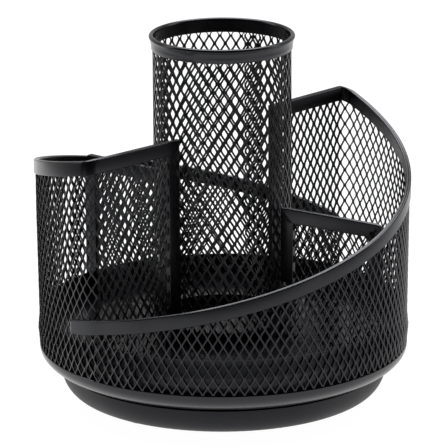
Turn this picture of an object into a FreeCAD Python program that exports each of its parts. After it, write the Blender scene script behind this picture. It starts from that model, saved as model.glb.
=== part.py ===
import FreeCAD, Part
import math
import os

# Rotating mesh desk organizer (lazy susan). Millimetres, +Z up, origin on the table under the spindle.
# Angles are in degrees about the spindle, 0 at the front (-Y) and growing towards the right (+X).

# ---- Driving dimensions -------------------------------------------------------------------
SHEET = 0.9                 # thickness of a mesh panel
TRIM = 0.7                  # thickness of one leaf of the folded edge strip
TRIM_DEPTH = 6.5            # how far the edge strip reaches down or across the mesh
EDGE = 1.0                  # metal of the strip beyond the mesh edge it wraps

WALL_R = 82.5               # outside radius of the mesh wall, upper part
WALL_TAPER_TOP = 83.2       # height below which the wall narrows to its waist
WALL_WAIST_R, WALL_WAIST_Z = 82.0, 36.2
WALL_BULGE_R, WALL_BULGE_Z = 82.6, 30.2
WALL_CURL_R, WALL_CURL_Z = 82.2, 26.2
WALL_FOOT_R = 80.9          # outside radius of the curled-in foot
WALL_FOOT_Z = 21.9          # lower edge of the mesh, inside the pan's lip

PAN_R = 82.0                # rotating base pan, outside of the lip
PAN_FLAT_R = 62.7           # its flat bottom
PAN_BOTTOM = 12.0
PAN_LIP_Z = 22.8
PAN_SIDE_Z = 22.0           # where the bowl turns into the straight lip
PAN_T = 1.0

FLOOR_TOP = 29.3            # upper face of the compartment floor
FLOOR_T = 1.0
FLOOR_R = 79.1
FLOOR_FOOT_Z = 18.9         # lower edge of the floor's flange

SKIRT_T = 0.8               # solid band behind the foot of the mesh wall
SKIRT_GAP = 0.05            # between the band and the mesh
SKIRT_BOTTOM = 20.6
SKIRT_TOP = 38.2

CUP_R = 30.6                # outside radius of the centre cup's mesh
CUP_FLARE = 0.9             # how far the top of the cup opens
CUP_FLARE_Z = 155.2
CUP_MESH_TOP = 160.8
CUP_RIM_TOP = 162.5
CUP_RIM_BOTTOM = 156.1
CUP_T = 0.8
CUP_RIM_LEAF = 0.6

# Each outer wall falls from its tall end to its low end along a spiral.
RIGHT_HIGH_A, RIGHT_LOW_A = 137.8, -51.0
RIGHT_HIGH_Z, RIGHT_LOW_Z = 124.2, 47.7
RIGHT_BOW = 0.37
RIGHT_MESH_END_A = -42.4    # the mesh stops here, only the strip's outer leaf goes on
LEFT_HIGH_A, LEFT_LOW_A = -42.9, -221.0
LEFT_HIGH_Z, LEFT_LOW_Z = 121.2, 62.0
LEFT_BOW = -0.08

POST_R = 30.85             # inner edge of the posts, against the cup
RADIAL_RIGHT_A = 137.0
RADIAL_LEFT_OUT_A, RADIAL_LEFT_IN_A = -43.6, -38.5
RADIAL_OUT_R = 80.6
DIVIDER_FRONT_OUT_A, DIVIDER_FRONT_IN_A = 58.5, 55.8
DIVIDER_FRONT_Z = 88.5
DIVIDER_FRONT_POST_Z = 54.7 # lower end of the strip on the front divider's inner edge
DIVIDER_REAR_A, DIVIDER_REAR_Z = -130.0, 94.8
DIVIDER_CORNER = 3.5        # rounding of the dividers' outer top corner

BASE_R = 72.6               # fixed turntable dish
BASE_BOTTOM = 0.8
BASE_TOP = 12.6
BASE_CORNER_R, BASE_CORNER_Z = 9.0, 11.4  # its rounded side, across and up
BASE_T = 1.2
BOSS_R = 13.0               # raised middle of the dish, over the spindle's lower head
BOSS_RISE = 2.0

RACE_IN, RACE_OUT = 38.0, 52.0
RACE_PITCH_R = 45.0
RACE_GAP_LOW, RACE_GAP_HIGH = 5.9, 7.9
BALL_R = 2.5
BALL_COUNT = 12
BALL_RUN = 0.3              # room between a ball and each groove
BALL_Z = 0.5 * (RACE_GAP_LOW + RACE_GAP_HIGH)
CAGE_IN, CAGE_OUT = 40.5, 49.5
CAGE_T = 0.8
RACE_RIVET_R, RACE_RIVET_HEAD = 1.1, 2.2
RACE_RIVET_PITCH = 50.1
RACE_RIVET_HEAD_T = 0.5
RACE_RIVETS = 4

SPINDLE_R = 3.0
SPINDLE_RUN = 0.06          # radial room of the pan on the spindle
SPINDLE_HEAD_R, SPINDLE_HEAD_T = 6.0, 1.2
SPINDLE_TOP = 15.4
WASHER_R, WASHER_T, WASHER_GAP = 8.0, 0.8, 0.3

FOOT_PITCH = 58.0
FOOT_R, FOOT_STEM_R, FOOT_BUTTON_R = 5.5, 2.4, 3.6
FOOT_BUTTON_T = 1.2
FOOT_FIRST_A = -38.0
FEET = 4

RING_IN, RING_LEG, RING_T = 25.8, 5.0, 0.8

SPIRAL_STEP = 9.0           # degrees between the points that a spiral edge passes through
FAR = 90.0                  # radius outside every wall
TALL = 170.0                # height above every piece

Vec = FreeCAD.Vector
UP = Vec(0, 0, 1)
ZERO = Vec(0, 0, 0)


# ---- Helpers ------------------------------------------------------------------------------
def at(radius, angle, z):
    turn = math.radians(angle)
    return Vec(radius * math.sin(turn), -radius * math.cos(turn), z)


def line(a, b):
    return Part.LineSegment(a, b).toShape()


def arc(a, mid, b):
    return Part.Arc(a, mid, b).toShape()


def rz(radius, z):
    """A point of a turned profile, in the XZ plane."""
    return Vec(radius, 0, z)


def rounded_side(flat_r, run, side_z, rise):
    """Quarter ellipse from the edge of a flat bottom, out and up to the side."""
    turns = [math.radians(15.0 * i) for i in range(7)]
    points = [rz(flat_r + run * math.sin(t), side_z - rise * math.cos(t)) for t in turns]
    curve = Part.BSplineCurve()
    curve.interpolate(points)
    return curve.toShape()


def turned(edges):
    """A full solid of revolution from a closed profile in the XZ plane."""
    return Part.Face(Part.Wire(edges)).revolve(ZERO, UP, 360)


def turned_polygon(points):
    corners = [rz(r, z) for r, z in points]
    return Part.Face(Part.makePolygon(corners + corners[:1])).revolve(ZERO, UP, 360)


def ring(r_in, r_out, z0, z1):
    return Part.makeCylinder(r_out, z1 - z0, Vec(0, 0, z0)).cut(
        Part.makeCylinder(r_in, z1 - z0, Vec(0, 0, z0)))


def around(shape, count, first=0.0):
    """Copies of a shape at equal turns about the spindle, as one compound of separate solids."""
    copies = []
    for i in range(count):
        one = shape.copy()
        one.rotate(ZERO, UP, first + 360.0 * i / count)
        copies.append(one)
    return Part.makeCompound(copies)


def fall(high_z, low_z, bow, t):
    """Height of a spiral edge at t from 0 at its tall end to 1 at its low end."""
    return high_z - (high_z - low_z) * t * (1 + bow * (1 - t))


def right_edge(angle):
    t = (RIGHT_HIGH_A - angle) / (RIGHT_HIGH_A - RIGHT_LOW_A)
    return fall(RIGHT_HIGH_Z, RIGHT_LOW_Z, RIGHT_BOW, t)


def left_edge(angle):
    t = (LEFT_HIGH_A - angle) / (LEFT_HIGH_A - LEFT_LOW_A)
    return fall(LEFT_HIGH_Z, LEFT_LOW_Z, LEFT_BOW, t)


def smooth_edge(radius, angles, height):
    points = [at(radius, a, height(a)) for a in angles]
    curve = Part.BSplineCurve()
    curve.interpolate(points)
    return curve.toShape()


def under_edge(a0, a1, height, depth, r_in=70.0, r_out=FAR):
    """The space from a spiral edge down by `depth`, from angle a0 round to a1."""
    steps = max(3, int(math.ceil(abs(a1 - a0) / SPIRAL_STEP)))
    angles = [a0 + (a1 - a0) * i / steps for i in range(steps + 1)]
    top = Part.makeRuledSurface(smooth_edge(r_in, angles, height), smooth_edge(r_out, angles, height))
    solid = Part.Solid(top.extrude(Vec(0, 0, -depth)))
    if solid.Volume < 0:
        solid.reverse()
    return solid


def solid_of(shape):
    """The single solid of a boolean result, with seams between like faces removed."""
    return shape.removeSplitter().Solids[0]


# ---- Turned mesh wall and its edge strip --------------------------------------------------
def wall_profile(out, into):
    """Closed profile of the wall, `out` beyond the mesh's outer face and `into` behind its inner face."""
    def side(offset):
        return [
            rz(WALL_R + offset, TALL),
            rz(WALL_R + offset, WALL_TAPER_TOP),
            rz(WALL_WAIST_R + offset, WALL_WAIST_Z),
            rz(WALL_BULGE_R + offset, WALL_BULGE_Z),
            rz(WALL_CURL_R + offset, WALL_CURL_Z),
            rz(WALL_FOOT_R + offset, PAN_LIP_Z),
            rz(WALL_FOOT_R + offset, WALL_FOOT_Z),
        ]
    outer = side(out)
    inner = side(-SHEET - into)
    corners = outer + inner[::-1]
    return Part.Face(Part.makePolygon(corners + corners[:1])).revolve(ZERO, UP, 360)


def wall_mesh(a0, a1, edge):
    """Mesh sheet that curls into the pan and ends just inside the folded strip along its top."""
    room = under_edge(a0, a1, lambda a: edge(a) - EDGE, TALL)
    return solid_of(wall_profile(0.0, 0.0).common(room))


def wall_strip(a0, a1, edge, mesh):
    """Folded strip over the top edge of a mesh wall."""
    room = under_edge(a0, a1, edge, TRIM_DEPTH)
    return solid_of(wall_profile(TRIM, TRIM).common(room).cut(mesh))


def right_strip(mesh):
    """The right wall's strip, whose outer leaf laps over the left wall at the low end."""
    strip = wall_strip(RIGHT_HIGH_A, RIGHT_MESH_END_A, right_edge, mesh)
    tail_room = under_edge(RIGHT_MESH_END_A, RIGHT_LOW_A, right_edge, TRIM_DEPTH)
    tail = wall_profile(TRIM, -SHEET).common(tail_room)
    return solid_of(strip.fuse(tail))


def compartment_space():
    """Everything above the floor and inside the skirt and the mesh wall."""
    return turned_polygon([
        (0, FLOOR_TOP), (FLOOR_R, FLOOR_TOP), (FLOOR_R, SKIRT_TOP), (WALL_WAIST_R - SHEET, SKIRT_TOP),
        (WALL_R - SHEET, WALL_TAPER_TOP), (WALL_R - SHEET, TALL), (0, TALL)])


# ---- Flat mesh panels ---------------------------------------------------------------------
def panel(start, end, z0, z1, thickness, corner=0.0):
    """Upright flat plate from `start` to `end` in plan, its far top corner rounded."""
    along = (end - start).normalize()
    side = Vec(-along.y, along.x, 0) * (thickness / 2)
    length = (end - start).Length

    def point(s, z):
        return start + along * s - side + Vec(0, 0, z)

    if corner > 0:
        bend = corner * (1 - math.cos(math.radians(45)))
        edges = [
            line(point(0, z0), point(length, z0)),
            line(point(length, z0), point(length, z1 - corner)),
            arc(point(length, z1 - corner), point(length - bend, z1 - bend), point(length - corner, z1)),
            line(point(length - corner, z1), point(0, z1)),
            line(point(0, z1), point(0, z0)),
        ]
        outline = Part.Wire(edges)
    else:
        corners = [point(0, z0), point(length, z0), point(length, z1), point(0, z1)]
        outline = Part.makePolygon(corners + corners[:1])
    return Part.Face(outline).extrude(side * 2)


def shifted(start, end, near, far):
    """The same line in plan, shortened or lengthened at both ends."""
    along = (end - start).normalize()
    return start + along * near, end + along * far


def flat_mesh(start, end, top, corner, reach):
    """Flat mesh panel from its post to the wall, standing on the floor."""
    a, b = shifted(start, end, EDGE, reach)
    plate = panel(a, b, FLOOR_TOP, top - EDGE, SHEET, corner)
    return solid_of(plate.common(compartment_space()))


def flat_strip(start, end, top, corner, post_z, far_post, mesh):
    """Folded strip along the inner post and the top edge, and down the far edge of a divider."""
    thick = SHEET + 2 * TRIM
    whole = panel(start, end, post_z, top, thick, corner)
    a, b = shifted(start, end, TRIM_DEPTH, -TRIM_DEPTH if far_post else 5.0)
    window = panel(a, b, post_z - 5.0, top - TRIM_DEPTH, thick + 2.0)
    strip = whole.cut(window).cut(mesh).common(compartment_space())
    return solid_of(strip)


# ---- Other carousel pieces ----------------------------------------------------------------
def base_pan():
    """Shallow bowl under the walls, with a straight lip round the curled foot of the mesh."""
    run = PAN_R - PAN_FLAT_R
    rise = PAN_SIDE_Z - PAN_BOTTOM
    half = PAN_T / 2
    lip = PAN_LIP_Z - half
    bore = SPINDLE_R + SPINDLE_RUN
    return turned([
        line(rz(bore, PAN_BOTTOM), rz(PAN_FLAT_R, PAN_BOTTOM)),
        rounded_side(PAN_FLAT_R, run, PAN_SIDE_Z, rise),
        line(rz(PAN_R, PAN_SIDE_Z), rz(PAN_R, lip)),
        arc(rz(PAN_R, lip), rz(PAN_R - half, PAN_LIP_Z), rz(PAN_R - PAN_T, lip)),
        line(rz(PAN_R - PAN_T, lip), rz(PAN_R - PAN_T, PAN_SIDE_Z)),
        rounded_side(PAN_FLAT_R, run - PAN_T, PAN_SIDE_Z, rise - PAN_T),
        line(rz(PAN_FLAT_R, PAN_BOTTOM + PAN_T), rz(bore, PAN_BOTTOM + PAN_T)),
        line(rz(bore, PAN_BOTTOM + PAN_T), rz(bore, PAN_BOTTOM)),
    ])


def floor_plate():
    """Flat compartment floor with a flange turned down to the pan."""
    return turned_polygon([
        (0, FLOOR_TOP), (FLOOR_R, FLOOR_TOP), (FLOOR_R, FLOOR_FOOT_Z), (FLOOR_R - FLOOR_T, FLOOR_FOOT_Z),
        (FLOOR_R - FLOOR_T, FLOOR_TOP - FLOOR_T), (0, FLOOR_TOP - FLOOR_T)])


def skirt_band():
    """Solid band that lies against the inside of the mesh wall's foot and follows its curl."""
    back = SHEET + SKIRT_GAP
    outer = [
        (WALL_WAIST_R - back, SKIRT_TOP), (WALL_WAIST_R - back, WALL_WAIST_Z),
        (WALL_BULGE_R - back, WALL_BULGE_Z), (WALL_CURL_R - back, WALL_CURL_Z),
        (WALL_FOOT_R - back, PAN_LIP_Z), (WALL_FOOT_R - back, SKIRT_BOTTOM)]
    inner = [(r - SKIRT_T, z) for r, z in outer]
    return turned_polygon(outer + inner[::-1])


def cup_mesh():
    inner = CUP_R - CUP_T
    return turned_polygon([
        (CUP_R, FLOOR_TOP), (CUP_R, CUP_FLARE_Z), (CUP_R + CUP_FLARE, CUP_MESH_TOP),
        (inner + CUP_FLARE, CUP_MESH_TOP), (inner, CUP_FLARE_Z), (inner, FLOOR_TOP)])


def cup_rim():
    """Flared ring folded over the top of the cup, with a rounded bead along its top."""
    low_out = CUP_R + CUP_RIM_LEAF
    low_in = CUP_R - CUP_T - CUP_RIM_LEAF
    bead_out = CUP_R + CUP_FLARE + CUP_RIM_LEAF
    bead_in = CUP_R - CUP_T + CUP_FLARE - CUP_RIM_LEAF
    bead_r = (bead_out - bead_in) / 2
    bead_z = CUP_RIM_TOP - bead_r
    whole = turned([
        line(rz(low_in, CUP_RIM_BOTTOM), rz(low_out, CUP_RIM_BOTTOM)),
        line(rz(low_out, CUP_RIM_BOTTOM), rz(bead_out, bead_z)),
        arc(rz(bead_out, bead_z), rz((bead_in + bead_out) / 2, CUP_RIM_TOP), rz(bead_in, bead_z)),
        line(rz(bead_in, bead_z), rz(low_in, CUP_RIM_BOTTOM)),
    ])
    return solid_of(whole.cut(cup_mesh()))


def cup_base_ring():
    """Angle ring that holds the foot of the cup's mesh to the floor."""
    r = CUP_R - CUP_T
    return turned_polygon([
        (RING_IN, FLOOR_TOP), (r, FLOOR_TOP), (r, FLOOR_TOP + RING_LEG), (r - RING_T, FLOOR_TOP + RING_LEG),
        (r - RING_T, FLOOR_TOP + RING_T), (RING_IN, FLOOR_TOP + RING_T)])


# ---- Turntable ----------------------------------------------------------------------------
def rivet_hole(z0, z1):
    return Part.makeCylinder(RACE_RIVET_R, z1 - z0, at(RACE_RIVET_PITCH, 0, z0))


def race(z0, z1):
    """Flat ring with a groove for the balls in the face that looks at the other race."""
    groove = Part.makeTorus(RACE_PITCH_R, BALL_R + BALL_RUN, Vec(0, 0, BALL_Z))
    holes = around(rivet_hole(z0, z1), RACE_RIVETS, 45.0)
    return solid_of(ring(RACE_IN, RACE_OUT, z0, z1).cut(groove).cut(holes))


def race_rivet(plate_z0, plate_z1, race_z0, race_z1, head_z):
    """Rivet through a plate and its race, flush in the race, with a flat head on the plate."""
    low = min(plate_z0, race_z0)
    high = max(plate_z1, race_z1)
    shank = Part.makeCylinder(RACE_RIVET_R, high - low, at(RACE_RIVET_PITCH, 0, low))
    head = Part.makeCylinder(RACE_RIVET_HEAD, RACE_RIVET_HEAD_T, at(RACE_RIVET_PITCH, 0, head_z))
    return solid_of(shank.fuse(head))


def turntable_base():
    """Fixed dish with a rounded side and a raised middle for the spindle's lower head."""
    flat_r = BASE_R - BASE_CORNER_R
    corner_z = BASE_BOTTOM + BASE_CORNER_Z
    boss = BASE_BOTTOM + BOSS_RISE
    dish = turned([
        line(rz(SPINDLE_R, boss), rz(BOSS_R, boss)),
        line(rz(BOSS_R, boss), rz(BOSS_R + BOSS_RISE, BASE_BOTTOM)),
        line(rz(BOSS_R + BOSS_RISE, BASE_BOTTOM), rz(flat_r, BASE_BOTTOM)),
        rounded_side(flat_r, BASE_CORNER_R, corner_z, BASE_CORNER_Z),
        line(rz(BASE_R, corner_z), rz(BASE_R, BASE_TOP)),
        line(rz(BASE_R, BASE_TOP), rz(BASE_R - BASE_T, BASE_TOP)),
        line(rz(BASE_R - BASE_T, BASE_TOP), rz(BASE_R - BASE_T, corner_z)),
        rounded_side(flat_r, BASE_CORNER_R - BASE_T, corner_z, BASE_CORNER_Z - BASE_T),
        line(rz(flat_r, BASE_BOTTOM + BASE_T), rz(BOSS_R + BOSS_RISE, BASE_BOTTOM + BASE_T)),
        line(rz(BOSS_R + BOSS_RISE, BASE_BOTTOM + BASE_T), rz(BOSS_R, boss + BASE_T)),
        line(rz(BOSS_R, boss + BASE_T), rz(SPINDLE_R, boss + BASE_T)),
        line(rz(SPINDLE_R, boss + BASE_T), rz(SPINDLE_R, boss)),
    ])
    holes = around(rivet_hole(0.0, 5.0), RACE_RIVETS, 45.0)
    stem = Part.makeCylinder(FOOT_STEM_R, 5.0, at(FOOT_PITCH, 0, 0))
    return solid_of(dish.cut(holes).cut(around(stem, FEET, FOOT_FIRST_A)))


def spindle():
    """Rivet through the dish and the pan, with a head under the dish's boss and one over the washer."""
    boss = BASE_BOTTOM + BOSS_RISE
    shank = Part.makeCylinder(SPINDLE_R, SPINDLE_TOP - boss, Vec(0, 0, boss))
    lower = Part.makeCylinder(SPINDLE_HEAD_R, SPINDLE_HEAD_T, Vec(0, 0, boss - SPINDLE_HEAD_T))
    upper_z = PAN_BOTTOM + PAN_T + WASHER_GAP + WASHER_T
    upper = Part.makeCylinder(SPINDLE_HEAD_R, SPINDLE_TOP - upper_z, Vec(0, 0, upper_z))
    return solid_of(shank.fuse(lower).fuse(upper))


def washer():
    z = PAN_BOTTOM + PAN_T + WASHER_GAP
    return ring(SPINDLE_R, WASHER_R, z, z + WASHER_T)


def rubber_foot():
    """Foot pressed through the dish: a pad below, a stem in the hole and a button above."""
    plate_top = BASE_BOTTOM + BASE_T
    pad = Part.makeCylinder(FOOT_R, BASE_BOTTOM, at(FOOT_PITCH, 0, 0))
    stem = Part.makeCylinder(FOOT_STEM_R, BASE_T, at(FOOT_PITCH, 0, BASE_BOTTOM))
    button = Part.makeCylinder(FOOT_BUTTON_R, FOOT_BUTTON_T, at(FOOT_PITCH, 0, plate_top))
    return solid_of(pad.fuse(stem).fuse(button))


def ball_cage():
    plate = ring(CAGE_IN, CAGE_OUT, BALL_Z - CAGE_T / 2, BALL_Z + CAGE_T / 2)
    hole = Part.makeCylinder(BALL_R, CAGE_T * 2, at(RACE_PITCH_R, 0, BALL_Z - CAGE_T))
    return solid_of(plate.cut(around(hole, BALL_COUNT)))


# ---- Assembly -----------------------------------------------------------------------------
def turntable_nodes():
    base_plate_top = BASE_BOTTOM + BASE_T
    low_rivet = race_rivet(BASE_BOTTOM, base_plate_top, base_plate_top, RACE_GAP_LOW,
                           BASE_BOTTOM - RACE_RIVET_HEAD_T)
    high_rivet = race_rivet(PAN_BOTTOM, PAN_BOTTOM + PAN_T, RACE_GAP_HIGH, PAN_BOTTOM,
                            PAN_BOTTOM + PAN_T)
    pan_holes = around(rivet_hole(PAN_BOTTOM - 1, PAN_BOTTOM + PAN_T + 1), RACE_RIVETS, 45.0)
    return {
        "turntable_base": turntable_base(),
        "lower_race": race(base_plate_top, RACE_GAP_LOW),
        "lower_race_rivets": around(low_rivet, RACE_RIVETS, 45.0),
        "spindle": spindle(),
        "spindle_washer": washer(),
        "rubber_feet": around(rubber_foot(), FEET, FOOT_FIRST_A),
        "ball_cage": ball_cage(),
        "bearing_balls": around(Part.makeSphere(BALL_R, at(RACE_PITCH_R, 0, BALL_Z)), BALL_COUNT),
        "upper_race": race(RACE_GAP_HIGH, PAN_BOTTOM),
        "upper_race_rivets": around(high_rivet, RACE_RIVETS, 45.0),
        "base_pan": solid_of(base_pan().cut(pan_holes)),
    }


def wall_nodes():
    right = wall_mesh(RIGHT_HIGH_A, RIGHT_MESH_END_A, right_edge)
    left = wall_mesh(LEFT_HIGH_A, LEFT_LOW_A, left_edge)
    return {
        "wall_right_mesh": right,
        "wall_left_mesh": left,
        "wall_right_trim": right_strip(right),
        "wall_left_trim": wall_strip(LEFT_HIGH_A, LEFT_LOW_A, left_edge, left),
    }


def panel_nodes():
    """Radial walls and small dividers, each a mesh panel with its folded strip."""
    rows = [
        ("radial_right", RADIAL_RIGHT_A, RADIAL_RIGHT_A, RIGHT_HIGH_Z, 0.0, FLOOR_TOP, False),
        ("radial_left", RADIAL_LEFT_IN_A, RADIAL_LEFT_OUT_A, LEFT_HIGH_Z, 0.0, FLOOR_TOP, False),
        ("divider_front", DIVIDER_FRONT_IN_A, DIVIDER_FRONT_OUT_A, DIVIDER_FRONT_Z, DIVIDER_CORNER,
         DIVIDER_FRONT_POST_Z, True),
        ("divider_rear", DIVIDER_REAR_A, DIVIDER_REAR_A, DIVIDER_REAR_Z, DIVIDER_CORNER, FLOOR_TOP, True),
    ]
    nodes = {}
    for name, angle_in, angle_out, top, corner, post_z, far_post in rows:
        start = at(POST_R, angle_in, 0)
        end = at(RADIAL_OUT_R, angle_out, 0)
        mesh = flat_mesh(start, end, top, corner, 0.0)
        nodes[name + "_mesh"] = mesh
        nodes[name + "_trim"] = flat_strip(start, end, top, corner, post_z, far_post, mesh)
    return nodes


def inner_nodes():
    return {
        "skirt_band": skirt_band(),
        "floor_plate": floor_plate(),
        "cup_base_ring": cup_base_ring(),
        "cup_mesh": cup_mesh(),
        "cup_rim": cup_rim(),
    }


def main():
    os.makedirs("parts", exist_ok=True)
    nodes = {}
    for group in (turntable_nodes(), inner_nodes(), wall_nodes(), panel_nodes()):
        nodes.update(group)
    for name, shape in nodes.items():
        box = shape.BoundBox
        print("%-18s solids %2d valid %s vol %9.1f  z %6.2f..%6.2f  r %5.2f" % (
            name, len(shape.Solids), shape.isValid(), shape.Volume, box.ZMin, box.ZMax, box.XMax))
        shape.exportStep("parts/%s.step" % name)


main()
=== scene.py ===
import math

import bmesh
import bpy
from mathutils import Matrix, Vector


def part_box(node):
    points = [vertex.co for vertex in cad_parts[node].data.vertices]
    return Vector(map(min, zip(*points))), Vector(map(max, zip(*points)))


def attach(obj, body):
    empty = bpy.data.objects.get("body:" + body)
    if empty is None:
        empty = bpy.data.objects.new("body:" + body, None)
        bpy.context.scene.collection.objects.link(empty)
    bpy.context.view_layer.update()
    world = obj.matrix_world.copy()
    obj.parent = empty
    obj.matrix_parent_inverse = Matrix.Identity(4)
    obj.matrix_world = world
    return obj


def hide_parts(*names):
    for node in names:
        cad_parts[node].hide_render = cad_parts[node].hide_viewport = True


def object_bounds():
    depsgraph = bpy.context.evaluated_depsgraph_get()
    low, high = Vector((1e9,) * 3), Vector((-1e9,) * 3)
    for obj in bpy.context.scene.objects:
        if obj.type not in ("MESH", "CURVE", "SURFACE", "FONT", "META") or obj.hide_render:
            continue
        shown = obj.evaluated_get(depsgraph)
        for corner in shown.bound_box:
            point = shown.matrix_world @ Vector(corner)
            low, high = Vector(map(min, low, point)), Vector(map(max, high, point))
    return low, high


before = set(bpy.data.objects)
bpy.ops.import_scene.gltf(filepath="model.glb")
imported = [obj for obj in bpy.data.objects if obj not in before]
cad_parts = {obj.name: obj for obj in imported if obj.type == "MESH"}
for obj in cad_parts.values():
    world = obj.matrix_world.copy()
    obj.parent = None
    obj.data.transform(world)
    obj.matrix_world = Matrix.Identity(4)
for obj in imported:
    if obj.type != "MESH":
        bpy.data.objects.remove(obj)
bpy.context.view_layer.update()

# Lengths are in millimetres where a name ends in _MM or _mm, and in metres elsewhere.
# Angles are in degrees about the spindle, 0 at the front (-Y) and growing towards the right (+X).
MM = 0.001

# ---- Shape of the walls, as in the CAD ----------------------------------------------------
SHEET_MM = 0.9
RIM = {"right": (-53.0, 137.8, 0.37), "left": (-221.0, -42.9, -0.08)}  # low angle, tall angle, bow
RADIAL = {"right": (137.0, 137.0), "left": (-38.5, -43.6)}  # flat wall's angle at its post and outside
RIGHT_MESH_END = -42.4             # low end of the right wall's mesh
LEFT_SHEET_END = -27.5             # the left wall's sheet runs on behind the right one to here
BEND_R_MM = 4.6                    # plan radius where a wall turns inwards
POST_R_MM = 30.85                  # inner edge of the posts, against the cup
FOOT_R_MM = 82.0                   # the mesh stands on the pan's lip
FOOT_GAP_MM = 0.05                 # height of its foot over the lip
CURL_R_MM, CURL_UP_MM = 82.2, 3.4          # where the foot curls in, above the pan's lip
BULGE_R_MM, BULGE_UP_MM = 82.6, 7.4        # fullest place, above the pan's lip
WAIST_R_MM, WAIST_DOWN_MM = 82.0, 2.0      # narrow place, below the top of the skirt band
TAPER_UP_MM = 60.4                 # the taper ends this far above the pan's lip
LAP_MM = ((-42.0, 1.3), (-39.0, 0.75), (-27.5, 0.75), (-22.0, 0.0))  # angle, right wall outside the left
LAP_TIP_MM = 2.4                   # length over which the tail's tip turns in
LAPPED_DOWN_MM = 5.0               # top of the lapped sheet below the right wall's rim

# ---- Low dividers, as in the CAD ----------------------------------------------------------
DIVIDER_FRONT = (55.8, 58.5)       # angle at the post and at the outer wall
DIVIDER_REAR = (-130.0, -130.0)
DIVIDER_FRONT_DROP_MM = 1.4        # fall of the front divider's top towards the outer wall
DIVIDER_R_MM = 81.2                # outer edge of the dividers
DIVIDER_CORNER_MM = 3.5            # radius of their outer top corner
CORNER_STEPS = 9                   # straight steps in that quarter circle
CORNER_RUN_MM = 1.0                # straight stretch of the strip just under it

# ---- Expanded metal -----------------------------------------------------------------------
WALL_CELL_MM = (4.53, 7.26, 0.77)  # one diamond, knuckle to knuckle, and the width of a strand
CUP_CELL_MM = (4.80, 7.60, 0.90)
EDGE_SAMPLES = 60                  # places along a sheet where its height is read
STRAND_T_MM = 0.66                 # thickness of a strand
STRAND_BEVEL_MM = 0.14
KNUCKLE_MM = 0.45                  # half height of the flat where four strands join
WALL_LEAN_MM = -0.16               # how far each strand's edges lean out of the sheet

# ---- Folded edge strips -------------------------------------------------------------------
STRIP_T_MM = 2.3
STRIP_DEPTH_MM = 6.5
STRIP_ROUND_MM = 0.6               # radius of its two rolled edges
STRIP_ROUND_STEPS, STRIP_ROUND_STEP = 9, 16.0       # points round a rolled edge, and degrees between them
STRIP_GROOVE_MM = 0.22             # depth of the groove between them
STRIP_FOOT_MM = 0.25               # chamfer at its foot
MITRE_GAP_MM = 0.14
TAIL_ROUND_MM = 3.0                # rounding of a strip's free end
MESH_TOP_MM = 0.6                  # metal of the strip above the mesh inside it
TIP_STEP_MM, ARC_STEP_MM, BEND_STEP_MM, FLAT_STEP_MM = 0.2, 3.0, 0.5, 8.0   # stations along a wall's strip
DIVIDER_STEP_MM = 4.0              # stations along a divider's strip

MESH_SMOOTH, STRIP_SMOOTH, RIM_SMOOTH = 35.0, 28.0, 40.0   # edges sharper than this stay sharp
WELD = 2e-6                        # points nearer than this become one

# ---- Centre cup ---------------------------------------------------------------------------
CUP_FLARE_MM = 0.9                 # how far the cup opens under its rim
CUP_FLARE_DOWN_MM = 0.9            # the flare starts this far below the rim
CUP_BEAD_MM = 1.05                 # radius of the rolled bead
CUP_BEAD_START, CUP_BEAD_STEP, CUP_BEAD_POINTS = -40.0, 15.0, 16   # angles of the points round the bead
CUP_RIM_FLARE = (                  # outside of the rim: share of its height, mm outside the mesh's middle
    (0.0, 0.75), (0.03, 0.9), (0.35, 1.0), (0.6, 1.2), (0.8, 1.5))
CUP_RIM_STEPS = 144                # straight steps round the rim
SEAM_START, SEAM_LAP, SEAM_EASE = 145.0, 16.0, 6.0  # lapped seam of the cup's mesh, in degrees
SEAM_STEP_MM = 0.7

# ---- Materials, floor and light -----------------------------------------------------------
NOISE_SPAN = (0.3, 0.7)            # where nearly all values of a noise lie
TONE_SPAN = (0.35, 0.65)           # part of it over which a colour changes
PAINT_TINT = (0.92, 0.93, 1.0, 1.0)                 # the paint's highlights are a little blue
WHITE = (1.0, 1.0, 1.0, 1.0)
FLOOR_SIZE, FLOOR_BACK = (0.84, 1.36), 0.32         # metres; the floor's middle lies behind the object
FLOOR_DOWN = 0.0002                # just under the feet
FLOOR_GLOW = 0.98
LIGHT_AIM = Vector((0, 0, 0.07))
WORLD_DEPTH = (-0.3, 0.8)          # y of a direction where the world is dimmest and brightest
WORLD_STRENGTH = (0.01, 0.55)
WORLD_SEEN = 1.15                  # strength that the camera itself sees

# ---- Camera -------------------------------------------------------------------------------
CAMERA_DISTANCE = 1.700
CAMERA_PITCH = 16.05
CAMERA_ROLL = -0.31
CAMERA_TARGET_Z = 0.0748
CAMERA_LENS = 307.97
CAMERA_SENSOR = 36.0
CAMERA_SHIFT = (0.00246, 0.0046)


# ---- Small helpers ------------------------------------------------------------------------
def around(angle):
    """Unit vector in plan at an angle about the spindle."""
    turn = math.radians(angle)
    return Vector((math.sin(turn), -math.cos(turn)))


def angle_of(point):
    return math.degrees(math.atan2(point.x, -point.y))


def right_of(way):
    return Vector((way.y, -way.x))


def lift(plan, z):
    return Vector((plan.x, plan.y, z))


def make_object(name, verts, faces, smooth_angle):
    """A piece of the carousel made of these points and faces."""
    mesh = bpy.data.meshes.new(name)
    mesh.from_pydata(verts, [], faces)
    work = bmesh.new()
    work.from_mesh(mesh)
    bmesh.ops.remove_doubles(work, verts=work.verts, dist=WELD)
    bmesh.ops.dissolve_degenerate(work, edges=work.edges, dist=WELD)
    bmesh.ops.recalc_face_normals(work, faces=work.faces)
    work.to_mesh(mesh)
    work.free()
    mesh.shade_smooth()
    mesh.set_sharp_from_angle(angle=math.radians(smooth_angle))
    piece = bpy.data.objects.new(name, mesh)
    bpy.context.scene.collection.objects.link(piece)
    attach(piece, "carousel")
    return piece


def finish_piece(piece, material, *nodes):
    piece.data.materials.append(material)
    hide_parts(*nodes)


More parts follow.
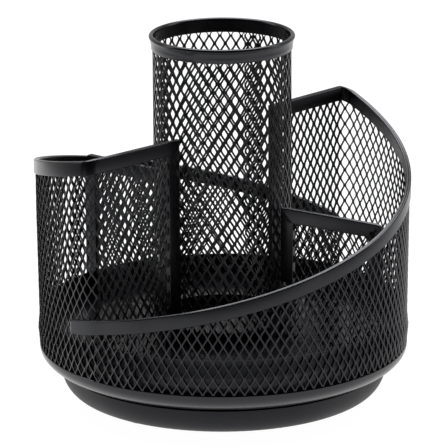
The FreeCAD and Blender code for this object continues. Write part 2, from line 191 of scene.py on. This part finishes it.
# ---- Materials ----------------------------------------------------------------------------
def principled(name):
    material = bpy.data.materials.new(name)
    material.use_nodes = True
    return material, material.node_tree, material.node_tree.nodes["Principled BSDF"]


def noise_node(tree, scale, detail=3.0):
    coords = tree.nodes.new("ShaderNodeTexCoord")
    noise = tree.nodes.new("ShaderNodeTexNoise")
    noise.inputs["Scale"].default_value = scale
    noise.inputs["Detail"].default_value = detail
    tree.links.new(coords.outputs["Object"], noise.inputs["Vector"])
    return noise


def ranged(tree, source, low, high):
    """The 0..1 value of a noise, spread over low..high."""
    scale = tree.nodes.new("ShaderNodeMapRange")
    scale.inputs["From Min"].default_value, scale.inputs["From Max"].default_value = NOISE_SPAN
    scale.inputs["To Min"].default_value = low
    scale.inputs["To Max"].default_value = high
    tree.links.new(source.outputs["Fac"], scale.inputs["Value"])
    return scale


def two_tone(tree, source, dark, light):
    ramp = tree.nodes.new("ShaderNodeValToRGB")
    ramp.color_ramp.elements[0].position, ramp.color_ramp.elements[1].position = TONE_SPAN
    ramp.color_ramp.elements[0].color = (*dark, 1)
    ramp.color_ramp.elements[1].color = (*light, 1)
    tree.links.new(source.outputs["Fac"], ramp.inputs["Fac"])
    return ramp


def grain(tree, shader, source, height_mm):
    bump = tree.nodes.new("ShaderNodeBump")
    bump.inputs["Strength"].default_value = 1.0
    bump.inputs["Distance"].default_value = height_mm * MM
    tree.links.new(source.outputs["Fac"], bump.inputs["Height"])
    tree.links.new(bump.outputs["Normal"], shader.inputs["Normal"])


def paint(name, dark, light, rough, peel_mm, peel_scale=900.0, specular=0.5):
    """Stoved black paint: slight shade changes, uneven gloss and a fine orange peel."""
    material, tree, shader = principled(name)
    broad = noise_node(tree, 35.0)
    fine = noise_node(tree, peel_scale, 2.0)
    tree.links.new(two_tone(tree, broad, dark, light).outputs["Color"], shader.inputs["Base Color"])
    tree.links.new(ranged(tree, broad, rough - 0.05, rough + 0.06).outputs["Result"],
                   shader.inputs["Roughness"])
    shader.inputs["Specular IOR Level"].default_value = specular
    shader.inputs["Specular Tint"].default_value = PAINT_TINT
    grain(tree, shader, fine, peel_mm)
    return material


def steel(name, tint, rough):
    material, tree, shader = principled(name)
    fine = noise_node(tree, 1200.0)
    broad = noise_node(tree, 120.0)
    light = tuple(min(1.0, c * 1.15) for c in tint)
    tree.links.new(two_tone(tree, broad, tint, light).outputs["Color"], shader.inputs["Base Color"])
    tree.links.new(ranged(tree, fine, rough - 0.08, rough + 0.1).outputs["Result"],
                   shader.inputs["Roughness"])
    shader.inputs["Metallic"].default_value = 1.0
    grain(tree, shader, fine, 0.01)
    return material


def rubber(name):
    material, tree, shader = principled(name)
    fine = noise_node(tree, 2200.0, 4.0)
    tree.links.new(two_tone(tree, fine, (0.012, 0.012, 0.012), (0.022, 0.022, 0.021)).outputs["Color"],
                   shader.inputs["Base Color"])
    tree.links.new(ranged(tree, fine, 0.68, 0.86).outputs["Result"], shader.inputs["Roughness"])
    grain(tree, shader, fine, 0.03)
    return material


PAINT = paint("satin_black_paint", (0.0036, 0.0036, 0.0044), (0.0050, 0.0050, 0.0062), 0.22, 0.004)
MESH_PAINT = paint("mesh_black_paint", (0.0030, 0.0030, 0.0036), (0.0046, 0.0046, 0.0054), 0.28, 0.006,
                   peel_scale=1400.0)
DISH_PAINT = paint("dish_black_paint", (0.0026, 0.0026, 0.0032), (0.0038, 0.0038, 0.0046), 0.48, 0.005,
                   specular=0.35)
FLOOR_PAINT = paint("floor_black_paint", (0.0030, 0.0030, 0.0038), (0.0042, 0.0042, 0.0050), 0.16, 0.002,
                    specular=0.4)
STEEL = steel("bare_steel", (0.50, 0.50, 0.52), 0.32)
BALL_STEEL = steel("polished_steel", (0.62, 0.62, 0.64), 0.14)
RUBBER = rubber("black_rubber")


# ---- Paths in plan ------------------------------------------------------------------------
class WallPath:
    """Plan line of one outer wall: an arc, a rounded corner and the flat wall in to its post.

    A place on it is its distance s in metres from the low end of the arc.
    """

    def __init__(self, start, radial, radius, post_r):
        self.radius = radius
        self.start = start
        post = around(radial[0]) * post_r
        outer = around(radial[1]) * radius
        way = (outer - post).normalized()
        side = right_of(way)
        if side.dot(around(radial[1] - 90.0)) < 0:
            side = -side
        bend = BEND_R_MM * MM
        centre_from = post + side * bend
        half = centre_from.dot(way)
        reach = -half + math.sqrt(half * half - centre_from.length_squared + (radius - bend) ** 2)
        self.centre = centre_from + way * reach
        self.bend = bend
        self.arc_end = angle_of(self.centre)
        while self.arc_end < self.start:
            self.arc_end += 360.0
        self.corner = post + way * reach
        self.way = -way
        self.post = post
        self.arc_length = math.radians(self.arc_end - self.start) * radius
        first = around(self.arc_end)
        last = right_of(self.way)
        self.turn = math.acos(max(-1.0, min(1.0, first.dot(last))))
        self.bend_length = self.turn * bend
        self.bend_end = self.arc_length + self.bend_length
        self.length = self.bend_end + (self.corner - post).length

    def angle(self, s):
        """Angle of a place; past the arc it goes on growing at the same rate."""
        return self.start + math.degrees(s / self.radius)

    def s_at(self, angle):
        return math.radians(angle - self.start) * self.radius

    def at(self, s):
        """(point, outward normal, 1 on the arc and 0 on the flat wall)."""
        if s <= self.arc_length:
            out = around(self.angle(s))
            return out * self.radius, out, 1.0
        if s <= self.bend_end:
            done = (s - self.arc_length) / self.bend_length
            out = around(self.arc_end + math.degrees(self.turn * done))
            return self.centre + out * self.bend, out, 0.5 + 0.5 * math.cos(math.pi * done)
        out = right_of(self.way)
        return self.corner + self.way * (s - self.bend_end), out, 0.0


class FlatPath:
    """A straight flat wall from the outer end in to its post."""

    def __init__(self, outer, post):
        self.outer = outer
        self.way = (post - outer).normalized()
        self.length = (post - outer).length

    def at(self, s):
        return self.outer + self.way * s, right_of(self.way), 0.0


class RoundPath:
    """The cup's circle, from one angle round past itself by a lapped seam."""

    def __init__(self, radius):
        self.radius = radius
        self.length = math.radians(360.0 + SEAM_LAP) * radius

    def at(self, s):
        turn = math.degrees(s / self.radius)
        out = around(SEAM_START + turn)
        over = max(0.0, min(1.0, (turn - 360.0 + SEAM_EASE) / SEAM_EASE))
        return out * (self.radius + over * SEAM_STEP_MM * MM), out, 1.0


# ---- Expanded metal sheets ----------------------------------------------------------------
def cell_rings(cell):
    """Corners of a diamond cell and of its opening, counter-clockwise from the right."""
    a, b = cell[0] / 2, cell[1] / 2
    edge = a * b / math.hypot(a, b)
    scale = 1 - cell[2] / 2 / edge
    ha, hb = a * scale, b * scale
    flat_x = ha * (1 - KNUCKLE_MM / hb)
    corners = [(a, 0), (0, b), (-a, 0), (0, -b)]
    hole = [(flat_x, KNUCKLE_MM), (0, hb), (-flat_x, KNUCKLE_MM), (-flat_x, -KNUCKLE_MM), (0, -hb),
            (flat_x, -KNUCKLE_MM)]
    grow = 1 + STRAND_BEVEL_MM / edge
    wide = [(x * grow, z * grow) for x, z in hole]
    return corners, hole, wide, ha


def cell_faces(k):
    """Faces of one cell whose points start at index k."""
    front_c, back_c = k, k + 4
    front, mid, back = k + 8, k + 14, k + 20
    faces = []
    for c, h, flip in ((front_c, front, False), (back_c, back, True)):
        flat = [
            (c, c + 1, h + 1, h), (c + 1, c + 2, h + 2, h + 1), (c + 2, c + 3, h + 4, h + 3),
            (c + 3, c, h + 5, h + 4), (c, h, h + 5), (c + 2, h + 3, h + 2)]
        faces += [f[::-1] for f in flat] if flip else flat
    for i in range(6):
        j = (i + 1) % 6
        faces.append((front + i, front + j, mid + j, mid + i))
        faces.append((mid + i, mid + j, back + j, back + i))
    return faces


def expanded_sheet(low, high, surface, s_from, s_to, cell=WALL_CELL_MM, lean=WALL_LEAN_MM):
    """Diamond mesh from s_from to s_to along a wall, between the heights low(s) and high(s).

    surface(s, z, out) gives the point `out` metres outside the middle of the sheet.
    """
    corners, hole, wide, half_w = cell_rings(cell)
    cell_w, cell_h = cell[0] * MM, cell[1] * MM
    length = s_to - s_from
    columns = max(2, round(length / cell_w))
    step_s = length / columns
    stretch = step_s / cell_w
    half_t = STRAND_T_MM / 2
    verts, faces = [], []
    samples = [s_from + length * i / EDGE_SAMPLES for i in range(EDGE_SAMPLES + 1)]
    top, bottom = max(map(high, samples)), min(map(low, samples))
    rows = int((top - bottom) / (cell_h / 2)) + 2
    for row in range(rows):
        z0 = bottom + row * cell_h / 2
        for column in range(columns + 1):
            s0 = s_from + (column + (0.5 if row % 2 else 0.0)) * step_s
            s_safe = min(max(s0, s_from), s_to)
            roof = high(s_safe)
            sill = low(s_safe)
            if z0 - cell_h / 2 > roof - STRIP_DEPTH_MM * MM or z0 + cell_h / 2 < sill:
                continue
            k = len(verts)
            rings = (
                [(x, z, half_t) for x, z in corners], [(x, z, -half_t) for x, z in corners],
                [(x, z, half_t + lean * x / half_w) for x, z in wide],
                [(x, z, lean * x / half_w) for x, z in hole],
                [(x, z, -half_t + lean * x / half_w) for x, z in wide])
            for ring in rings:
                for x, z, out in ring:
                    s = min(max(s0 + x * stretch * MM, s_from), s_to)
                    height = min(max(z0 + z * MM, low(s)), high(s))
                    verts.append(surface(s, height, out * MM))
            faces += cell_faces(k)
    return verts, faces


# ---- Edge strips --------------------------------------------------------------------------
def strip_section():
    """(across, down) points round a strip: flat sides, a closed-in foot and two rolled edges on top."""
    half, r = STRIP_T_MM / 2, STRIP_ROUND_MM
    points = [(half - STRIP_FOOT_MM, STRIP_DEPTH_MM), (half, STRIP_DEPTH_MM - STRIP_FOOT_MM)]
    for i in range(STRIP_ROUND_STEPS):
        turn = math.radians(STRIP_ROUND_STEP * i)
        points.append((half - r + r * math.cos(turn), r - r * math.sin(turn)))
    points.append((0.0, STRIP_GROOVE_MM))
    mirrored = [(-x, z) for x, z in reversed(points[:-1])]
    return points + mirrored


def strip(stations):
    """A strip through stations (edge point, outward normal, into-the-sheet vector)."""
    section = strip_section()
    count = len(section)
    verts, faces = [], []
    for edge, out, down in stations:
        for across, depth in section:
            verts.append(edge + out * across * MM + down * depth * MM)
    for i in range(len(stations) - 1):
        for j in range(count):
            a, b = i * count + j, i * count + (j + 1) % count
            faces.append((a, b, b + count, a + count))
    last = (len(stations) - 1) * count
    faces.append(tuple(range(count)))
    faces.append(tuple(last + j for j in reversed(range(count))))
    return verts, faces


def joined(name, parts, smooth_angle):
    """One piece made of several sets of points and faces."""
    verts, faces = [], []
    for some_verts, some_faces in parts:
        shift = len(verts)
        verts += some_verts
        faces += [tuple(i + shift for i in f) for f in some_faces]
    return make_object(name, verts, faces, smooth_angle)


def post_stations(post, out, z_low, z_high, into):
    """Two stations down a post; the upper one is mitred against the top strip."""
    top = lift(post, z_high - MITRE_GAP_MM * MM / 2)
    return [(top, out, Vector((0, 0, -1)) + into), (lift(post, z_low), out, into)]


def mitred(stations, into):
    """The same stations, the last one cut at 45 degrees to meet a post."""
    edge, out, down = stations[-1]
    return stations[:-1] + [(edge, out, down + into)]


# ---- The two outer walls ------------------------------------------------------------------
def spread(start, end, step):
    count = max(1, math.ceil(abs(end - start) / step))
    return [start + (end - start) * i / count for i in range(count + 1)]


def between(table, at):
    """Value at a place in a table of (place, value) pairs, straight lines between them."""
    if at <= table[0][0]:
        return table[0][1]
    for (a, low), (b, high) in zip(table, table[1:]):
        if at <= b:
            return low + (high - low) * (at - a) / (b - a)
    return table[-1][1]


def wall_profile():
    """(height, radius) of the middle of the mesh wall, from its foot up."""
    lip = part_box("base_pan")[1].z
    wall_r = -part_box("wall_left_mesh")[0].x / MM
    outside = [(lip, FOOT_R_MM), (lip + CURL_UP_MM * MM, CURL_R_MM), (lip + BULGE_UP_MM * MM, BULGE_R_MM),
               (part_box("skirt_band")[1].z - WAIST_DOWN_MM * MM, WAIST_R_MM), (lip + TAPER_UP_MM * MM, wall_r)]
    return [(z, (r - SHEET_MM / 2) * MM) for z, r in outside]


def wall_rim(side):
    """Function that gives the height of a wall's rim at an angle."""
    low_angle, tall_angle, bow = RIM[side]
    tall_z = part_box(f"radial_{side}_trim")[1].z
    low_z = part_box(f"wall_{side}_trim")[0].z + STRIP_DEPTH_MM * MM

    def height(angle):
        t = min(1.0, max(0.0, (tall_angle - angle) / (tall_angle - low_angle)))
        return tall_z - (tall_z - low_z) * t * (1 + bow * (1 - t))

    return height


def build_wall(side):
    """Mesh and strip of one outer wall with the flat wall at its tall end."""
    foot_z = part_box("base_pan")[1].z + FOOT_GAP_MM * MM
    floor_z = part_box("floor_plate")[1].z
    tall_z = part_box(f"radial_{side}_trim")[1].z
    profile = wall_profile()
    radius = profile[-1][1]
    path = WallPath(RIM[side][0], RADIAL[side], radius, POST_R_MM * MM)
    post_into = lift(-path.way, 0)
    rim_at, right_rim_at = wall_rim(side), wall_rim("right")

    def rim(s):
        return rim_at(path.angle(s))

    def shift(s, z, on_arc):
        """How far the sheet stands outside the path; the right wall's tail turns in at its tip."""
        lap = 0.0
        if side == "right":
            tip = min(1.0, s / (LAP_TIP_MM * MM))
            lap = between(LAP_MM, path.angle(s)) * MM * math.sqrt(tip * (2 - tip))
        return on_arc * (between(profile, z) - radius + lap)

    def surface(s, z, out):
        plan, normal, on_arc = path.at(s)
        return lift(plan + normal * (out + shift(s, z, on_arc)), z)

    def lapped_surface(s, z, out):
        way = around(path.angle(s))
        return lift(way * (between(profile, z) + out), z)

    def sill(s):
        return foot_z if s < path.bend_end else floor_z

    mesh_from = path.s_at(RIGHT_MESH_END) if side == "right" else 0.0
    mesh_to = path.length - MESH_TOP_MM * MM
    sheets = [expanded_sheet(sill, lambda s: rim(s) - MESH_TOP_MM * MM, surface, mesh_from, mesh_to)]
    if side == "left":
        sheets.append(expanded_sheet(
            lambda s: foot_z, lambda s: right_rim_at(path.angle(s)) - LAPPED_DOWN_MM * MM,
            lapped_surface, path.arc_length, path.s_at(LEFT_SHEET_END)))
    mesh = joined(f"{side}_wall_expanded_mesh", sheets, MESH_SMOOTH)
    finish_piece(mesh, MESH_PAINT, f"wall_{side}_mesh", f"radial_{side}_mesh")

    def edge(s):
        plan, normal, on_arc = path.at(s)
        z = rim(s)
        near = max(0.0, 1 - s / (TAIL_ROUND_MM * MM))
        cut = TAIL_ROUND_MM * MM * (1 - math.sqrt(1 - near ** 2))
        down = Vector((0, 0, -1)) * (1 - 2 * cut / (STRIP_DEPTH_MM * MM))
        away = normal * shift(s, z - STRIP_DEPTH_MM * MM / 2, on_arc)
        return lift(plan + away, z - cut), lift(normal, 0), down

    tip_s = spread(0.0, LAP_TIP_MM * MM, TIP_STEP_MM * MM)[:-1]
    arc_s = spread(LAP_TIP_MM * MM, path.arc_length, ARC_STEP_MM * MM)
    turn_s = spread(path.arc_length, path.bend_end, BEND_STEP_MM * MM)[1:]
    flat_s = spread(path.bend_end, path.length - MITRE_GAP_MM * MM / 2, FLAT_STEP_MM * MM)[1:]
    along = mitred([edge(s) for s in tip_s + arc_s + turn_s + flat_s], post_into)
    post = post_stations(path.post, lift(right_of(path.way), 0), floor_z, tall_z, post_into)
    piece = joined(f"{side}_wall_edge_strip", [strip(along), strip(post)], STRIP_SMOOTH)
    finish_piece(piece, PAINT, f"wall_{side}_trim", f"radial_{side}_trim")


# ---- Low dividers -------------------------------------------------------------------------
def build_divider(side, angles, drop_mm):
    """A low divider with a strip on three sides; its top falls by drop_mm towards the outer wall."""
    mesh_node = f"divider_{side}_mesh"
    trim_node = f"divider_{side}_trim"
    floor_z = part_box(mesh_node)[0].z
    top_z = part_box(trim_node)[1].z
    foot_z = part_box(trim_node)[0].z
    post = around(angles[0]) * POST_R_MM * MM
    outer = around(angles[1]) * DIVIDER_R_MM * MM
    path = FlatPath(outer, post)
    out = lift(right_of(path.way), 0)
    into = lift(-path.way, 0)
    corner = DIVIDER_CORNER_MM * MM

    def top(s):
        along = s / path.length
        return top_z - drop_mm * MM * (1 - along)

    def rim(s):
        if s >= corner:
            return top(s)
        return top(s) - corner + math.sqrt(max(0.0, corner ** 2 - (corner - s) ** 2))

    def surface(s, z, away):
        plan, normal, _ = path.at(s)
        return lift(plan + normal * away, z)

    sheet = expanded_sheet(lambda s: floor_z, lambda s: rim(s) - MESH_TOP_MM * MM, surface, MESH_TOP_MM * MM,
                           path.length - MESH_TOP_MM * MM)
    mesh = joined(f"{side}_divider_expanded_mesh", [sheet], MESH_SMOOTH)
    finish_piece(mesh, MESH_PAINT, mesh_node)

    hub = lift(path.outer + path.way * corner, top(corner) - corner)
    stations = [(lift(path.outer, foot_z), out, lift(path.way, 0)),
                (lift(path.outer, top(corner) - corner - CORNER_RUN_MM * MM), out, lift(path.way, 0))]
    for i in range(CORNER_STEPS + 1):
        turn = math.radians(90.0 / CORNER_STEPS * i)
        away = into * math.cos(turn) + Vector((0, 0, 1)) * math.sin(turn)
        stations.append((hub + away * corner, out, -away))
    for s in spread(corner, path.length - MITRE_GAP_MM * MM / 2, DIVIDER_STEP_MM * MM)[1:]:
        stations.append((lift(path.outer + path.way * s, top(s)), out, Vector((0, 0, -1))))
    legs = post_stations(path.outer + path.way * path.length, out, foot_z, top_z, into)
    piece = joined(f"{side}_divider_edge_strip", [strip(mitred(stations, into)), strip(legs)], STRIP_SMOOTH)
    finish_piece(piece, PAINT, trim_node)


# ---- Centre cup ---------------------------------------------------------------------------
def build_cup():
    low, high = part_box("cup_mesh")
    rim_low, rim_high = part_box("cup_rim")
    mid_r = high.x - (CUP_FLARE_MM + SHEET_MM / 2) * MM
    flare_z = rim_low.z - CUP_FLARE_DOWN_MM * MM
    path = RoundPath(mid_r)

    def flare(z):
        return max(0.0, (z - flare_z) / (high.z - flare_z)) * CUP_FLARE_MM * MM

    def surface(s, z, out):
        plan, normal, _ = path.at(s)
        return lift(plan + normal * (out + flare(z)), z)

    sheet = expanded_sheet(lambda s: low.z, lambda s: high.z - MESH_TOP_MM * MM, surface, 0.0, path.length,
                           CUP_CELL_MM, 0.0)
    mesh = joined("cup_expanded_mesh", [sheet], MESH_SMOOTH)
    finish_piece(mesh, MESH_PAINT, "cup_mesh")

    bead = CUP_BEAD_MM * MM
    bead_r = rim_high.x - bead
    bead_z = rim_high.z - bead
    inside = bead_r - bead
    tall = bead_z - rim_low.z
    profile = [(inside, rim_low.z)]
    for part, out_mm in CUP_RIM_FLARE:
        profile.append((mid_r + out_mm * MM, rim_low.z + tall * part))
    for i in range(CUP_BEAD_POINTS):
        turn = math.radians(CUP_BEAD_START + CUP_BEAD_STEP * i)
        profile.append((bead_r + bead * math.cos(turn), bead_z + bead * math.sin(turn)))
    rim = make_object("cup_rolled_rim", *turned(profile, CUP_RIM_STEPS), RIM_SMOOTH)
    finish_piece(rim, PAINT, "cup_rim")


def turned(profile, steps):
    """Closed ring through a profile of (radius, height) points."""
    verts, faces = [], []
    count = len(profile)
    for i in range(steps):
        way = around(360.0 * i / steps)
        verts += [lift(way * r, z) for r, z in profile]
    for i in range(steps):
        here, there = i * count, (i + 1) % steps * count
        for j in range(count):
            k = (j + 1) % count
            faces.append((here + j, here + k, there + k, there + j))
    return verts, faces


# ---- Carried-over CAD nodes ---------------------------------------------------------------
def give(node, material):
    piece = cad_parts[node]
    piece.data.materials.clear()
    piece.data.materials.append(material)


def build_carried_over():
    for node in ("base_pan", "cup_base_ring"):
        give(node, PAINT)
    give("floor_plate", FLOOR_PAINT)
    for node in ("skirt_band", "turntable_base"):
        give(node, DISH_PAINT)
    for node in ("lower_race", "upper_race", "lower_race_rivets", "upper_race_rivets", "spindle",
                 "spindle_washer", "ball_cage"):
        give(node, STEEL)
    give("bearing_balls", BALL_STEEL)
    give("rubber_feet", RUBBER)


# ---- Floor, light and camera --------------------------------------------------------------
def build_floor():
    bpy.ops.mesh.primitive_plane_add(size=1.0, location=(0, FLOOR_BACK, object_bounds()[0].z - FLOOR_DOWN))
    floor = bpy.context.object
    floor.scale = (*FLOOR_SIZE, 1.0)
    floor.name = "floor"
    material, tree, shader = principled("pale_floor")
    fine = noise_node(tree, 60.0)
    tree.links.new(two_tone(tree, fine, (0.080, 0.080, 0.080), (0.088, 0.088, 0.088)).outputs["Color"],
                   shader.inputs["Base Color"])
    shader.inputs["Roughness"].default_value = 0.7
    shader.inputs["Specular IOR Level"].default_value = 0.2
    shader.inputs["Emission Color"].default_value = WHITE
    shader.inputs["Emission Strength"].default_value = FLOOR_GLOW
    floor.data.materials.append(material)


def build_world():
    """White to the camera; as light it is brightest behind the object and dim in front of it."""
    world = bpy.data.worlds.new("studio")
    bpy.context.scene.world = world
    world.use_nodes = True
    tree = world.node_tree
    back = tree.nodes["Background"]
    back.inputs["Color"].default_value = WHITE
    coords = tree.nodes.new("ShaderNodeTexCoord")
    split = tree.nodes.new("ShaderNodeSeparateXYZ")
    depth = tree.nodes.new("ShaderNodeMapRange")
    depth.inputs["From Min"].default_value = WORLD_DEPTH[0]
    depth.inputs["From Max"].default_value = WORLD_DEPTH[1]
    depth.inputs["To Min"].default_value = WORLD_STRENGTH[0]
    depth.inputs["To Max"].default_value = WORLD_STRENGTH[1]
    tree.links.new(coords.outputs["Generated"], split.inputs["Vector"])
    tree.links.new(split.outputs["Y"], depth.inputs["Value"])
    seen = tree.nodes.new("ShaderNodeLightPath")
    pick = tree.nodes.new("ShaderNodeMix")
    pick.inputs["B"].default_value = WORLD_SEEN
    tree.links.new(seen.outputs["Is Camera Ray"], pick.inputs["Factor"])
    tree.links.new(depth.outputs["Result"], pick.inputs["A"])
    tree.links.new(pick.outputs["Result"], back.inputs["Strength"])


def soft_light(name, place, size, power):
    lamp = bpy.data.lights.new(name, "AREA")
    lamp.shape = "RECTANGLE"
    lamp.size, lamp.size_y = size
    lamp.energy = power
    light = bpy.data.objects.new(name, lamp)
    light.location = place
    light.rotation_euler = (LIGHT_AIM - Vector(place)).to_track_quat("-Z", "Y").to_euler()
    bpy.context.scene.collection.objects.link(light)


def build_lights():
    soft_light("top_light", (0.0, 0.35, 1.3), (1.3, 0.9), 26.0)
    soft_light("left_light", (-1.3, 0.1, 0.55), (0.4, 1.0), 3.0)
    soft_light("right_light", (1.3, 0.1, 0.55), (0.4, 1.0), 3.0)


def build_camera():
    pitch, roll = math.radians(CAMERA_PITCH), math.radians(CAMERA_ROLL)
    ahead = Vector((0, math.cos(pitch), -math.sin(pitch)))
    level = Vector((1, 0, 0))
    upright = level.cross(ahead)
    right = level * math.cos(roll) + upright * math.sin(roll)
    up = upright * math.cos(roll) - level * math.sin(roll)
    place = Vector((0, 0, CAMERA_TARGET_Z)) - ahead * CAMERA_DISTANCE
    lens = bpy.data.cameras.new("camera")
    lens.lens = CAMERA_LENS
    lens.sensor_width = CAMERA_SENSOR
    lens.shift_x, lens.shift_y = CAMERA_SHIFT
    camera = bpy.data.objects.new("camera", lens)
    turn = Matrix((right, up, -ahead)).transposed()
    camera.matrix_world = Matrix.Translation(place) @ turn.to_4x4()
    bpy.context.scene.collection.objects.link(camera)
    bpy.context.scene.camera = camera


build_wall("right")
build_wall("left")
build_divider("front", DIVIDER_FRONT, DIVIDER_FRONT_DROP_MM)
build_divider("rear", DIVIDER_REAR, 0.0)
build_cup()
build_carried_over()
build_floor()
build_world()
build_lights()
build_camera()
bpy.context.scene.view_settings.view_transform = "Standard"
